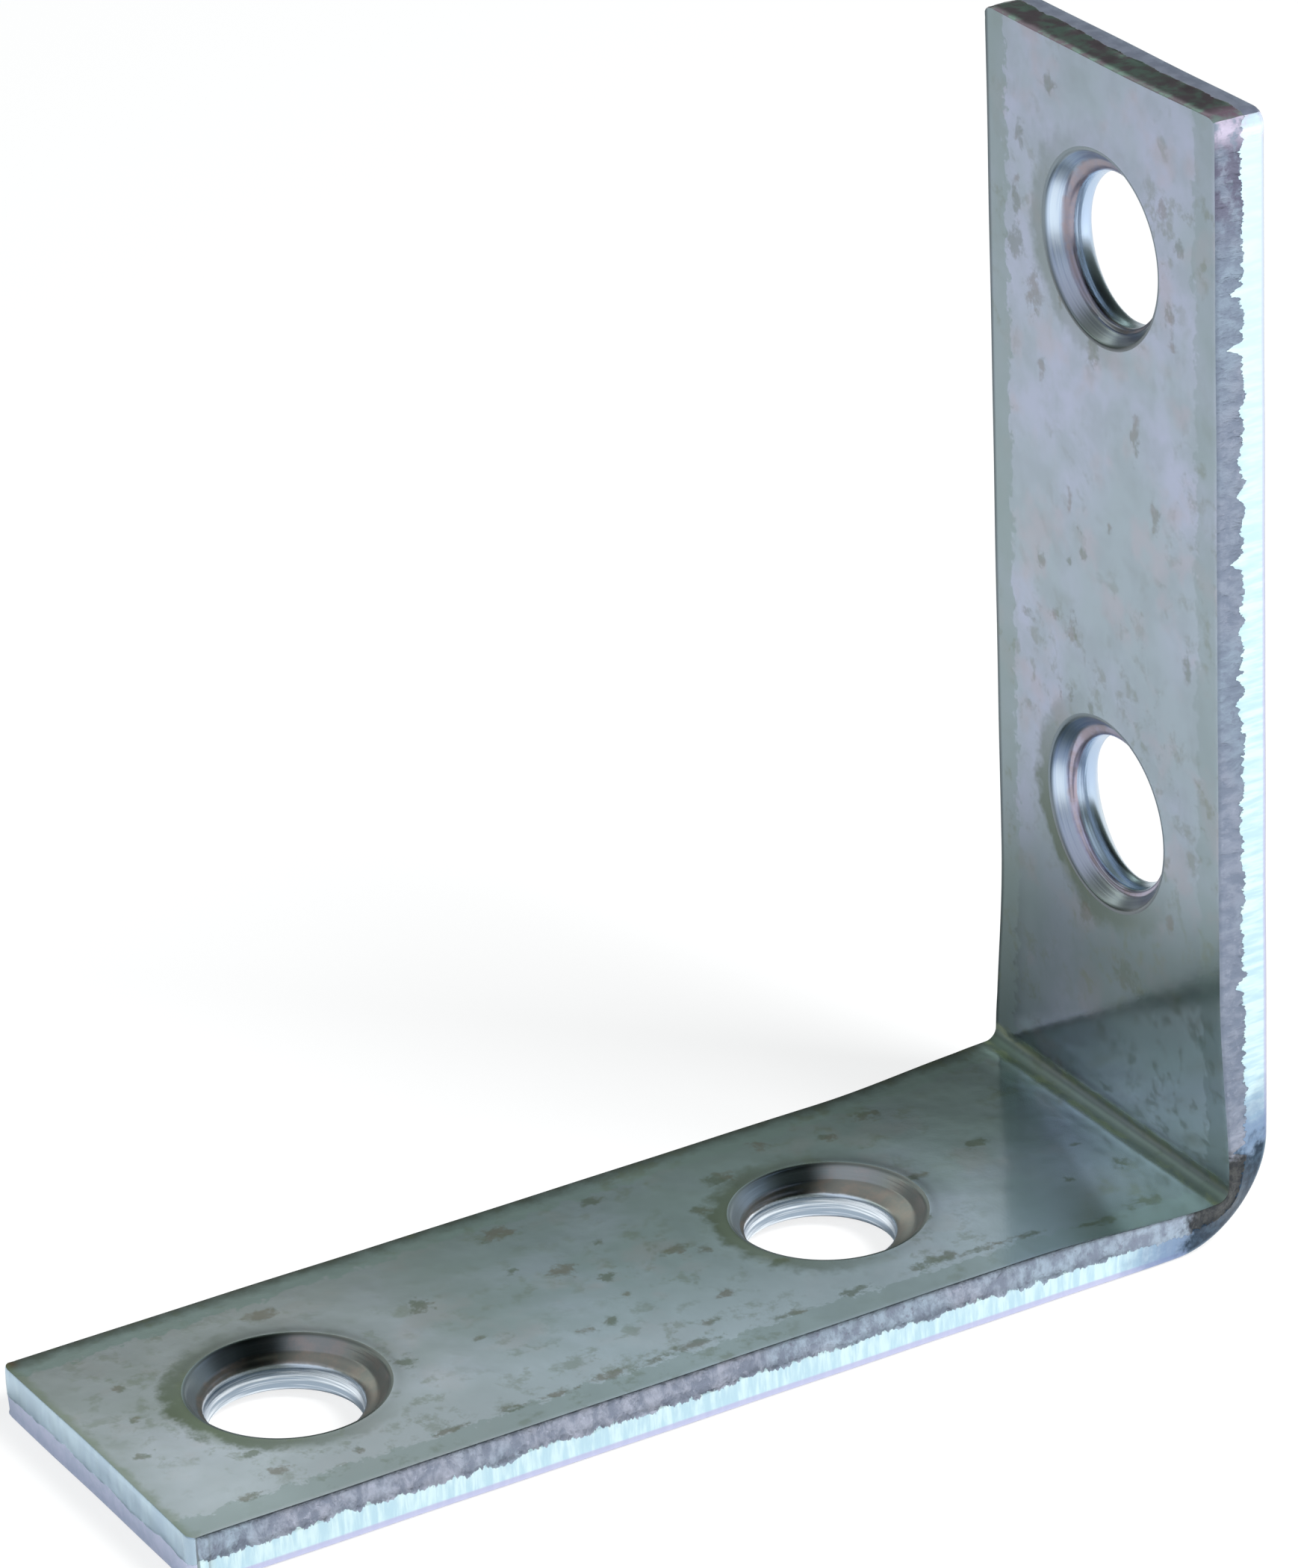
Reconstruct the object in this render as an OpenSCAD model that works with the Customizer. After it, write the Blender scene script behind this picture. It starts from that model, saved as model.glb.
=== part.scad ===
// Angle bracket bent from one sheared steel strip, with two countersunk screw holes in each leg.
// The foot lies on z = 0 and runs along X, with the upright at its +X end and Y across the strip.
// The origin is at the middle of the footprint. All sizes are in millimetres.

/* [Strip] */
// Width of the strip
strip_w = 16.5; // [14:0.5:24]
// Thickness of the strip
strip_t = 2.4; // [2.2:0.1:3]
// Radius that the shear rolls onto the outer face's edges
edge_roll = 0.3; // [0.1:0.05:0.5]
// Radius of the leg ends' corners, seen square on to the face
corner_r = 0.7; // [0.6:0.1:3]

/* [Legs] */
// Height of the upright over the underside
upright_h = 49.2; // [48:0.1:70]
// Length of the foot from the upright's outer face
foot_l = 50; // [48:0.1:70]

/* [Bend] */
// Radius of the bend on the outer face
bend_out_r = 4.5; // [3:0.1:5]
// Radius of the bend on the inner face
bend_in_r = 0.9; // [0.6:0.1:2]
// How far the squeezed metal stands out of each side at the inside of the bend
bulge_h = 0.75; // [0.1:0.05:0.8]
// How far that swelling reaches from the inside of the bend
bulge_reach = 1.5; // [0.6:0.1:1.5]

/* [Holes] */
// From the shorter leg's end back to the last countersink's centre, on both legs
hole_margin = 7.8; // [6:0.1:10]
// Spacing of the two holes on a leg
hole_pitch = 25; // [16:0.5:25]
// Diameter of a hole at its narrow neck
neck_d = 6.6; // [4:0.1:6.8]
// Height of the neck's straight wall
neck_h = 0.6; // [0.3:0.05:0.8]
// Diameter at which a hole opens through the outer face
exit_d = 8.2; // [7:0.1:9.5]
// How far a hole sits off its countersink, along the strip towards the foot's end
hole_shift = 0.4; // [0:0.05:0.5]

/* [Countersinks] */
// Diameter of a countersink's rim on the inner face
csk_d = 8.2; // [8:0.1:10]
// Depth of a countersink's steep side
csk_depth = 0.65; // [0.4:0.05:0.8]
// Angle of the steep side from the hole's axis
csk_lean = 28; // [15:1:35]
// Fall of the ledge between the steep side and the neck
ledge_fall = 0.15; // [0.05:0.05:0.2]

/* [Hidden] */
$fn = 96;
past = 1;
half_w = strip_w / 2;
hole_last = min(foot_l, upright_h) - hole_margin;
hole_places = [hole_last - hole_pitch, hole_last];
csk_r = csk_d / 2;
neck_r = neck_d / 2;
ledge_r = csk_r - csk_depth * tan(csk_lean);
ledge_top = strip_t - csk_depth;
neck_top = ledge_top - ledge_fall;
inner_c = strip_t + bend_in_r;
bulge_base = bend_in_r + bulge_reach;
bulge_ball = (bulge_base * bulge_base + bulge_h * bulge_h) / (2 * bulge_h);

// Frames: the strip is drawn with the heel's outer corner at x = 0. A leg's holes and edges are
// drawn along +X from that corner, with Y across and Z inward from the leg's outer face.

module on_foot() {
    mirror([1, 0, 0]) children();
}

module on_upright() {
    rotate([0, -90, 0]) children();
}

module on_both_sides() {
    children();
    mirror([0, 1, 0]) children();
}

// A drawing in X and Z, made width w across the strip
module across(w) {
    translate([0, w / 2, 0]) rotate([90, 0, 0]) linear_extrude(w) children();
}

// The bent strip

// Seen from the side: two legs, a wide outer bend and a tight inner one that thins the heel
module side_outline() {
    difference() {
        translate([-foot_l, 0]) square([foot_l, upright_h]);
        translate([-foot_l - past, inner_c]) square([foot_l + past - strip_t, upright_h]);
        translate([-foot_l - past, strip_t]) square([foot_l + past - inner_c, upright_h]);
        translate([-inner_c, inner_c]) circle(bend_in_r);
        difference() {
            translate([-bend_out_r, -past]) square(bend_out_r + past);
            translate([-bend_out_r, bend_out_r]) circle(bend_out_r);
        }
    }
}

// Metal squeezed out of both sides at the inside of the bend: a shallow cap of a ball
module bend_bulge() {
    on_both_sides() intersection() {
        translate([0, half_w, 0]) across(2 * (bulge_h + past)) side_outline();
        translate([-inner_c, half_w + bulge_h - bulge_ball, inner_c]) sphere(bulge_ball);
    }
}

// What the shear leaves off: rolled edges round the outer face, and the leg ends' corners

// Waste outside a quarter round: X out past the side, Y in from the outer face
module roll_waste() {
    difference() {
        translate([-edge_roll, -past]) square(edge_roll + past);
        translate([-edge_roll, edge_roll]) circle(edge_roll);
    }
}

module leg_side_waste(len) {
    corner_x = len - corner_r;
    translate([bend_out_r, half_w, 0])
        rotate([90, 0, 90]) linear_extrude(corner_x - bend_out_r) roll_waste();
    translate([corner_x, half_w - corner_r, 0]) {
        rotate_extrude(angle = 90) translate([corner_r, 0]) roll_waste();
        translate([0, 0, -past]) linear_extrude(strip_t + 2 * past) difference() {
            square(corner_r + past);
            circle(corner_r);
        }
    }
}

module leg_end_waste(len) {
    translate([len, half_w - corner_r, 0])
        rotate([90, 0, 0]) linear_extrude(strip_w - 2 * corner_r) roll_waste();
}

module heel_waste() {
    translate([-bend_out_r, 0, bend_out_r]) rotate([-90, 0, 0])
        rotate_extrude(angle = 90) translate([bend_out_r, half_w]) mirror([0, 1]) roll_waste();
}

// A screw hole: steep countersink and ledge from the inner face, then the neck, which sits a little
// off them and opens out towards the outer face

module countersink() {
    rotate_extrude() polygon([
        [0, neck_top], [neck_r - hole_shift, neck_top], [ledge_r, ledge_top],
        [csk_r, strip_t], [csk_r, strip_t + past], [0, strip_t + past]
    ]);
}

module hole() {
    rotate_extrude() polygon([
        [0, -past], [exit_d / 2, -past], [exit_d / 2, 0],
        [neck_r, neck_top - neck_h], [neck_r, ledge_top], [0, ledge_top]
    ]);
}

module leg_waste(len, shift) {
    on_both_sides() leg_side_waste(len);
    leg_end_waste(len);
    for (x = hole_places) translate([x, 0, 0]) {
        countersink();
        translate([shift, 0, 0]) hole();
    }
}

// The bracket

module bracket() {
    color("silver") translate([foot_l / 2, 0, 0]) difference() {
        union() {
            across(strip_w) side_outline();
            bend_bulge();
        }
        on_foot() leg_waste(foot_l, hole_shift);
        on_upright() leg_waste(upright_h, -hole_shift);
        on_both_sides() heel_waste();
    }
}

bracket();
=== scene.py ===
# %% [markdown]
# # Angle bracket
# The object is one strip of zinc-plated steel. A shear cut it from a sheet, a press pierced and
# countersunk four screw holes, and a brake bent it to a right angle. This notebook starts from the
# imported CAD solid, keeps its place and sizes, and puts a finer skin over it: torn edges, coined
# countersinks, a squeezed bend and a stained, glossy plating.

# %% Load the fixed frame
import math

import bpy
import numpy as np
from mathutils import Matrix, Vector


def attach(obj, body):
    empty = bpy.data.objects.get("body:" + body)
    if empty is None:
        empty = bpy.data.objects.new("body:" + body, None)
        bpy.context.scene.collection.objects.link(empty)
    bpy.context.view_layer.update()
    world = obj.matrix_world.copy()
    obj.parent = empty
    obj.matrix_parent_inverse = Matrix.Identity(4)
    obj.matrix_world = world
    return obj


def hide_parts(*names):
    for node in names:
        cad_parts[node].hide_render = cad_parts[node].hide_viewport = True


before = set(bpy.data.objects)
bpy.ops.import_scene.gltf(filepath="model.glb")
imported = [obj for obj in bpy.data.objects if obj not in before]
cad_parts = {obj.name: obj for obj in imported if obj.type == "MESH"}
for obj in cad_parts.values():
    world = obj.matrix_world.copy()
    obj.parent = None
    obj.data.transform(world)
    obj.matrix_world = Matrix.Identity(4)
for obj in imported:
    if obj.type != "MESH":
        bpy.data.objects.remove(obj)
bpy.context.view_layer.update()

# %% [markdown]
# ## Sizes
# All lengths here are in millimetres, as on a drawing, and become metres only when the mesh is made.
# The foot lies along X, the upright stands at its +X end, and the strip's width runs along Y.

# %% Sizes of the strip, the bend and the holes
foot_l, upright_h = 50.0, 49.2
half_w, strip_t = 8.25, 2.4
corner_r, edge_roll, crown_fall = 0.7, 0.3, 0.11
bend_out_r, bend_in_r = 4.5, 0.5
csk_r = 4.1
rng = np.random.default_rng(11)

# %% [markdown]
# ## Camera
# The camera stands where the photographer's did. Its place was solved from the straight edges and
# hole rims, so the picture plane, the distance and the slight roll all follow from the part. The
# photograph is 1738 x 2100, and Blender's sensor width belongs to the longer side.

# %% Place the camera
picture_w, picture_h = 1738, 2100
focal_px = 10140.0
azimuth, elevation, roll = (math.radians(a) for a in (-29.753, 25.753, -2.418))
target = Vector((1.197, 0.0, 23.815)) / 1000
distance = 0.297139

back = Vector((math.sin(azimuth) * math.cos(elevation),
               -math.cos(azimuth) * math.cos(elevation), math.sin(elevation)))
right = Vector((0, 0, 1)).cross(back).normalized()
up = back.cross(right)
turned_right = math.cos(roll) * right + math.sin(roll) * up
turned_up = math.cos(roll) * up - math.sin(roll) * right
camera_data = bpy.data.cameras.new("photo_camera")
camera_data.sensor_width = 36
camera_data.lens = focal_px * camera_data.sensor_width / picture_h
camera_data.clip_start, camera_data.clip_end = 0.01, 50
camera = bpy.data.objects.new("photo_camera", camera_data)
camera.matrix_world = Matrix.Translation(target + back * distance) @ Matrix(
    (turned_right, turned_up, back)).transposed().to_4x4()
bpy.context.scene.collection.objects.link(camera)
bpy.context.scene.camera = camera
bpy.context.scene.view_settings.view_transform = "Standard"
print("camera lens", round(camera_data.lens, 2), "mm, at", [round(c, 4) for c in camera.location])

# %% [markdown]
# ## The strip, laid flat
# A bent sheet is easiest to describe before it is bent. A point of the strip has three flat
# coordinates: q along it, zero at the middle of the bend, v across it, and w through it, 0 on the
# outer face and 1 on the inner one. One function folds flat coordinates into the bent part, so every
# later surface is drawn on the flat strip and folded at the end.

# %% Fold the flat strip
arc_half = math.pi / 4 * bend_out_r
q_foot = -(foot_l - bend_out_r) - arc_half
q_top = upright_h - bend_out_r + arc_half
inner_step = bend_out_r - strip_t - bend_in_r
inner_arc = math.pi / 2 * bend_in_r


def outer_line(q):
    """The outer face seen from the side: straight foot, a quarter circle of bend_out_r, straight upright."""
    turn = np.clip((q + arc_half) / bend_out_r, 0, math.pi / 2)
    x = -bend_out_r + np.minimum(q + arc_half, 0) + bend_out_r * np.sin(turn)
    z = bend_out_r * (1 - np.cos(turn)) + np.maximum(q - arc_half, 0)
    return x, z


def inner_line(q):
    """The inner face from the side. Its short path round the bend, a step, a quarter circle of bend_in_r
    and a step, is walked at an even share of the outer face's longer one."""
    share = np.clip((q + arc_half) / (2 * arc_half), 0, 1) * (2 * inner_step + inner_arc)
    first = np.minimum(share, inner_step)
    turn = np.clip((share - inner_step) / bend_in_r, 0, math.pi / 2)
    last = np.maximum(share - inner_step - inner_arc, 0)
    x = -bend_out_r + np.minimum(q + arc_half, 0) + first + bend_in_r * np.sin(turn)
    z = strip_t + bend_in_r * (1 - np.cos(turn)) + last + np.maximum(q - arc_half, 0)
    return x, z


def side_spread(q, w, outer_x, outer_z):
    """How far the squeezed side stands out: a swell of half a cosine that peaks at the bend, grows from the
    outer face to the inner one, and turns into a slight pinch at the outside of the bend."""
    along = np.maximum(-outer_x, outer_z)
    swell = 0.5 + 0.5 * np.cos(np.pi * np.clip((along - 2.4) / 9.5, 0, 1))
    pinch = np.exp(-(q / 2.6) ** 2)
    return 0.72 * swell * np.clip(w, 0, 1) ** 1.6 - 0.22 * pinch * (1 - np.clip(w, 0, 1)) ** 2


def crown(q, v):
    """How far the inner face falls away from flat, in mm: a power of v that reaches crown_fall at the sides,
    and a slow unevenness along the strip."""
    slow = 0.006 * np.sin(q / 5.3 + 0.8 * np.sin(v / 3.1)) + 0.004 * np.sin(q / 2.9 + v / 2.2 + 1.0)
    return crown_fall * np.abs(v / half_w) ** 2.2 + slow


def fold(q, v, w):
    """Straight blend of the outer and inner lines by w, with v stretched by the spread of the sides. The
    crown lowers the inner face and dies out towards the outer one."""
    q, v, w = np.broadcast_arrays(q, v, w)
    w = w * (1 - crown(q, v) / strip_t)
    outer_x, outer_z = outer_line(q)
    inner_x, inner_z = inner_line(q)
    x = outer_x + w * (inner_x - outer_x) + foot_l / 2
    z = outer_z + w * (inner_z - outer_z)
    y = v * (1 + side_spread(q, w, outer_x, outer_z) / half_w)
    return np.stack([x, y, z], -1)


print("flat strip runs from q =", round(q_foot, 3), "to", round(q_top, 3), "mm")

# %% [markdown]
# ## Unevenness
# Nothing on a sheared part is quite straight. Two kinds of seeded unevenness are used: slow waves, a
# few sines with odd wavelengths, and broken lines, random heights joined by straight lines, which
# look like the torn border of a cut.

# %% Waves and broken lines


def waves(s, lengths, height):
    """Sum of sines of the given wavelengths, with seeded phases, scaled to about +-height."""
    phases = rng.uniform(0, 2 * np.pi, len(lengths))
    total = sum(np.sin(2 * np.pi * s / length + phase) for length, phase in zip(lengths, phases))
    return height * total / math.sqrt(len(lengths))


def broken_line(s, pitch, height):
    """Seeded random heights within +-height every pitch, joined by straight lines."""
    knots = np.arange(s.min() - pitch, s.max() + 2 * pitch, pitch)
    return np.interp(s, knots, rng.uniform(-height, height, len(knots)))


# %% [markdown]
# ## Outline of the strip
# The outline is one closed loop of columns: up the near side, across the top end, down the far side
# and back across the foot's end, with a small quarter circle at each corner. Each column keeps its
# place, its inward direction and how far it belongs to a sheared end, because the sides and the ends
# were cut from opposite faces and look different.

# %% Lay out the columns
patch_half = 8.2
hole_q = np.array([-41.4, -16.4, 16.4, 41.4])
hole_q += np.sign(hole_q) * (arc_half - bend_out_r)


def run(start, stop, steps):
    """Evenly spaced values from start up to, but without, stop."""
    return np.linspace(start, stop, steps, endpoint=False)


cuts = [hole_q[0] + patch_half, hole_q[1] - patch_half, hole_q[1] + patch_half,
        hole_q[2] - patch_half, hole_q[2] + patch_half, hole_q[3] - patch_half]
side_q = np.concatenate([
    run(q_foot + corner_r, cuts[0], 54), run(cuts[0], cuts[1], 26), run(cuts[1], cuts[2], 56),
    run(cuts[2], cuts[3], 84), run(cuts[3], cuts[4], 56), run(cuts[4], cuts[5], 26),
    run(cuts[5], q_top - corner_r, 52), [q_top - corner_r]])
cut_at = [int(np.argmin(abs(side_q - c))) for c in cuts]
end_v = np.linspace(corner_r - half_w, half_w - corner_r, 51)
quarter = np.linspace(0, np.pi / 2, 8)[1:-1]


def corner(q, v, start):
    """Quarter circle of corner_r round (q, v), from the angle start, without its two ends."""
    turn = start + quarter
    return q + corner_r * np.cos(turn), v + corner_r * np.sin(turn), np.cos(turn), np.sin(turn)


def straight(q, v, out_q, out_v):
    """A straight stretch of the outline with one outward direction."""
    q, v = np.broadcast_arrays(np.asarray(q, float), np.asarray(v, float))
    return q, v, np.full(q.shape, float(out_q)), np.full(q.shape, float(out_v))


low_q, high_q, in_v = q_foot + corner_r, q_top - corner_r, half_w - corner_r
stretches = [
    straight(side_q, -half_w, 0, -1), corner(high_q, -in_v, -np.pi / 2),
    straight(q_top, end_v, 1, 0), corner(high_q, in_v, 0),
    straight(side_q[::-1], half_w, 0, 1), corner(low_q, in_v, np.pi / 2),
    straight(q_foot, end_v[::-1], -1, 0), corner(low_q, -in_v, np.pi)]
rim_q, rim_v, out_q, out_v = (np.concatenate([s[k] for s in stretches]) for k in range(4))
columns = len(rim_q)
walked = np.concatenate([[0], np.cumsum(np.hypot(np.diff(rim_q), np.diff(rim_v)))])
at_end = np.clip((np.abs(out_q) - 0.25) / 0.5, 0, 1)
at_end = at_end * at_end * (3 - 2 * at_end)
print(columns, "columns round", round(walked[-1], 1), "mm of outline")

# %% [markdown]
# ## Sheared edges
# A shear blade first rolls the edge over, then rubs a bright smooth band, and then the rest tears
# away at a slight lean. On the long sides the rolled edge and the bright band lie against the outer
# face. Each column is a profile from the inner face down to the outer one: pairs of height and inset.
# The heights move with the torn border, so the little step between the bands is real geometry.

# %% Build the sheared wall
rows_torn, rows_rubbed, rows_roll = 6, 4, 5
on_foot = rim_q < 0
border_side = np.where(on_foot, 0.54, 0.53 + 0.05 * np.clip((30 - rim_q) / 25, 0, 1))
border_side = border_side + waves(walked, [23.0, 9.1, 5.3], 0.02)
border_side = border_side + broken_line(walked, 1.3, 0.03) + broken_line(walked, 0.5, 0.022)
border_side = border_side + 0.2 * np.maximum(broken_line(walked, 0.33, 1.0) - 0.5, 0)
border_end = np.where(on_foot, 0.48, 0.40) + waves(walked, [11.0, 4.7], 0.02) + broken_line(walked, 0.8, 0.02)
border = border_side * (1 - at_end) + border_end * at_end
roll_share = edge_roll / strip_t


def wall_profile():
    """Heights w and insets of the wall's rows, one column per outline point. Above the border the side
    leans in by up to 0.13 mm; below it the wall is straight; a quarter circle rolls into the outer
    face. At the ends the lean is on the other side of the border."""
    up_part = np.array([1.0, 0.985, 0.95, 0.75, 0.4, 0.08, 0.0])[:, None]
    top_rows = border + (1 - border) * up_part
    down = np.array([0.06, 0.35, 0.7])[:, None]
    low_rows = border + (roll_share - border) * down
    turn = np.linspace(0, np.pi / 2, rows_roll + 1)[:, None] * np.ones(columns)
    roll_rows = roll_share * (1 - np.sin(turn))
    w = np.concatenate([top_rows, low_rows, roll_rows])
    lean_side = 0.13 * np.clip((w - border) / (1 - border), 0, 1) + 0.035 * (w > border + 0.004)
    lean_end = 0.06 * np.clip((border - w) / border, 0, 1) + 0.012 * (w < border - 0.004)
    break_in = np.clip((w - 0.95) / 0.05, 0, 1) ** 2 * 0.04
    inset = lean_side * (1 - at_end) + lean_end * at_end + break_in
    rolled = np.zeros_like(w)
    rolled[-(rows_roll + 1):] = edge_roll * (1 - np.cos(turn))
    return w, np.maximum(inset * (rolled < 1e-9), rolled + lean_end[-1] * 0)


wall_w, wall_inset = wall_profile()
torn = wall_w > border + 0.02
grain = rng.normal(0, 1, wall_w.shape) * 0.012
wall_inset[3:-rows_roll] += (grain * torn)[3:-rows_roll]
wall_inset += 0.015 + waves(walked, [31.0, 13.0, 7.7], 0.012)


def outline_at(row):
    """The outline's flat points on one row of the wall, moved inwards by that row's inset."""
    return rim_q - out_q * wall_inset[row], rim_v - out_v * wall_inset[row]


print("torn border at", round(float(border.min()), 2), "to", round(float(border.max()), 2), "of the thickness")

# %% [markdown]
# ## Surfaces as sheets of points
# Each part of the skin is a sheet: a grid of flat points with faces between neighbours. The sheets
# share their border points exactly, so they can be welded into one closed skin afterwards. A sheet
# may close on itself, as a hole's wall does.

# %% Collect sheets
sheets = []


def add_sheet(q, v, w, finish, closed=False, turned=False, around=None, down_hole=0.0, over_border=0.0):
    """Rows by columns of flat points. Faces go from each point to its neighbours; closed joins the last
    column to the first, and turned flips which way the faces look. The last three are facts for the finish:
    the angle round a hole, the step down its profile, and the height over the torn border."""
    q, v, w, down_hole, over_border = (np.array(a, float) for a in
                                       np.broadcast_arrays(q, v, w, down_hole, over_border))
    rows, cols = q.shape
    at = np.arange(rows * cols).reshape(rows, cols)
    if closed:
        at = np.concatenate([at, at[:, :1]], 1)
    quads = np.stack([at[:-1, :-1], at[1:, :-1], at[1:, 1:], at[:-1, 1:]], -1).reshape(-1, 4)
    if turned:
        quads = quads[:, ::-1]
    angle = np.zeros_like(q) if around is None else around + np.zeros_like(q)
    circled = np.stack([4 * np.cos(angle), 4 * np.sin(angle), 0.1 * down_hole], -1)
    sheets.append({"flat": np.stack([q, v, w], -1).reshape(-1, 3), "quads": quads, "finish": finish,
                   "circled": circled.reshape(-1, 3), "down_hole": down_hole.ravel(),
                   "over_border": over_border.ravel()})


zinc, side_cut, end_cut, coined = range(4)
mostly_end = at_end > 0.97

# The wall goes round the outline in stretches, so that sides and ends get their own finish.
closed_cols = np.append(np.arange(columns), 0)
stops = [0] + list(np.flatnonzero(np.diff(mostly_end.astype(int))) + 1) + [columns]
for first, last in zip(stops[:-1], stops[1:]):
    cols = closed_cols[first:last + 1]
    over = (wall_w - border)[:, cols] * strip_t * (-1 if mostly_end[first] else 1)
    add_sheet((rim_q - out_q * wall_inset)[:, cols], (rim_v - out_v * wall_inset)[:, cols], wall_w[:, cols],
              end_cut if mostly_end[first] else side_cut, over_border=over)
print(len(sheets), "stretches of sheared wall")

# %% [markdown]
# ## Countersunk holes
# The press coined each countersink into the inner face and pierced the hole a little off its centre.
# From the inner face down, a hole is a raised lip of displaced metal, a steep side, a flat ledge, a
# neck that the punch rubbed smooth, and then a wall that opens out where the slug tore away. One
# profile of depth and radius serves all four. Each hole then has its own off-centre places, sizes
# and depths, as worn press tools leave them, given at five stations down the hole.

# %% The holes' profile and places
lip_height = 0.012
hole_profile = np.array([
    # depth, radius
    (-lip_height, 4.210), (-0.008, 4.150), (0.004, 4.100), (0.026, 4.060), (0.060, 4.022), (0.130, 3.965),
    (0.230, 3.888), (0.330, 3.812), (0.430, 3.735), (0.510, 3.675), (0.555, 3.635), (0.590, 3.590),
    (0.612, 3.530), (0.632, 3.460), (0.655, 3.390), (0.685, 3.330), (0.725, 3.285), (0.775, 3.250),
    (0.850, 3.222), (0.950, 3.195), (1.060, 3.160), (1.180, 3.135), (1.300, 3.125), (1.450, 3.120),
    (1.600, 3.120), (1.730, 3.150), (1.860, 3.260), (2.020, 3.480), (2.180, 3.740), (2.300, 3.930),
    (2.370, 4.050), (2.400, 4.160)])
stations = np.array([-lip_height, 0.555, 0.80, 1.60, 2.40])
hole_heights = [
    # for each hole: at each station, distance from the heel's corner, v, radius, depth
    [(41.36, 0.00, 4.19, -0.012), (41.38, 0.00, 3.63, 0.55), (41.58, -0.03, 3.24, 0.84),
     (41.56, -0.05, 3.12, 1.79), (41.70, 0.00, 4.16, 2.40)],
    [(16.32, -0.18, 4.15, -0.012), (16.34, -0.18, 3.61, 0.53), (16.76, -0.18, 3.15, 0.80),
     (16.76, -0.18, 3.11, 1.71), (16.80, -0.05, 4.16, 2.40)],
    [(16.47, -0.05, 4.27, -0.012), (16.45, -0.05, 3.68, 0.56), (16.28, -0.05, 3.31, 0.82),
     (16.36, -0.05, 3.15, 1.43), (16.10, 0.00, 4.16, 2.40)],
    [(41.34, -0.14, 4.16, -0.012), (41.32, -0.14, 3.58, 0.60), (41.10, -0.14, 3.22, 0.97),
     (41.05, -0.14, 3.13, 1.56), (41.00, 0.00, 4.16, 2.40)]]


def hole_wall(places, side, angle):
    """Rows of circles down one hole. Radius and depth are the shared profile, moved at each row by what the
    hole's five stations ask, and the circles' centres slide from station to station."""
    depth, radius = hole_profile.T
    along, v, own_radius, own_depth = np.array(places).T
    shared_radius = np.interp(stations, depth, radius)
    grow = np.interp(depth, stations, own_radius - shared_radius)
    row_depth = np.interp(depth, stations, own_depth)[:, None]
    row_q = side * (np.interp(depth, stations, along)[:, None] - bend_out_r + arc_half)
    row_v = np.interp(depth, stations, v)[:, None]
    uneven = 1 + np.where(depth > 0.8, 1, 0.25)[:, None] * sum(
        height * np.sin(turns * angle + rng.uniform(0, 6)) for turns, height in ((2, 0.003), (5, 0.0015)))
    row_radius = (radius + grow)[:, None] * uneven
    return row_q + row_radius * np.cos(angle), row_v + row_radius * np.sin(angle), row_depth


# %% [markdown]
# ## Faces round the holes
# A flat face with a round hole in it is meshed like a spider's web: spokes run from the hole's rim to
# the outline, and rings crowd together near the rim, where the lip needs them. The web's outer ring
# is made of the wall's own columns and a straight cut across the strip.

# %% Weave the faces
cross = np.linspace(0, 1, 57)


def cut_line(k, row):
    """Points across the strip at side column k, on one row of the wall."""
    q, v = outline_at(row)
    far = columns_far[k]
    return q[k] + cross * (q[far] - q[k]), v[k] + cross * (v[far] - v[k])


far_start = len(side_q) + len(quarter) + len(end_v) + len(quarter)
columns_far = far_start + len(side_q) - 1 - np.arange(len(side_q))


def web_loop(hole, row):
    """Closed loop of flat points round a hole's patch, counter-clockwise seen from the inner face."""
    q, v = outline_at(row)
    low = cut_at[[None, 1, 3, 5][hole]] if hole else 0
    high = cut_at[[0, 2, 4, None][hole]] if hole < 3 else len(side_q) - 1
    loop = [(q[low:high + 1], v[low:high + 1])]
    if hole < 3:
        loop.append([c[1:-1] for c in cut_line(high, row)])
        loop.append((q[columns_far[high]:columns_far[low] + 1], v[columns_far[high]:columns_far[low] + 1]))
    else:
        loop.append((q[high + 1:columns_far[low] + 1], v[high + 1:columns_far[low] + 1]))
    if hole:
        loop.append([c[::-1][1:-1] for c in cut_line(low, row)])
    else:
        loop.append((q[columns_far[0] + 1:], v[columns_far[0] + 1:]))
    return np.concatenate([p[0] for p in loop]), np.concatenate([p[1] for p in loop])


def lip(distance):
    """Height of the metal pushed up beside a countersink, in mm: a rounded ridge that dies out in 1.5 mm,
    with a very shallow trough beyond it."""
    trough = 0.005 * np.exp(-((distance - 1.3) / 0.7) ** 2) * np.clip(distance / 0.4, 0, 1)
    return lip_height * np.exp(-(distance / 0.3) ** 2) - trough


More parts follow.
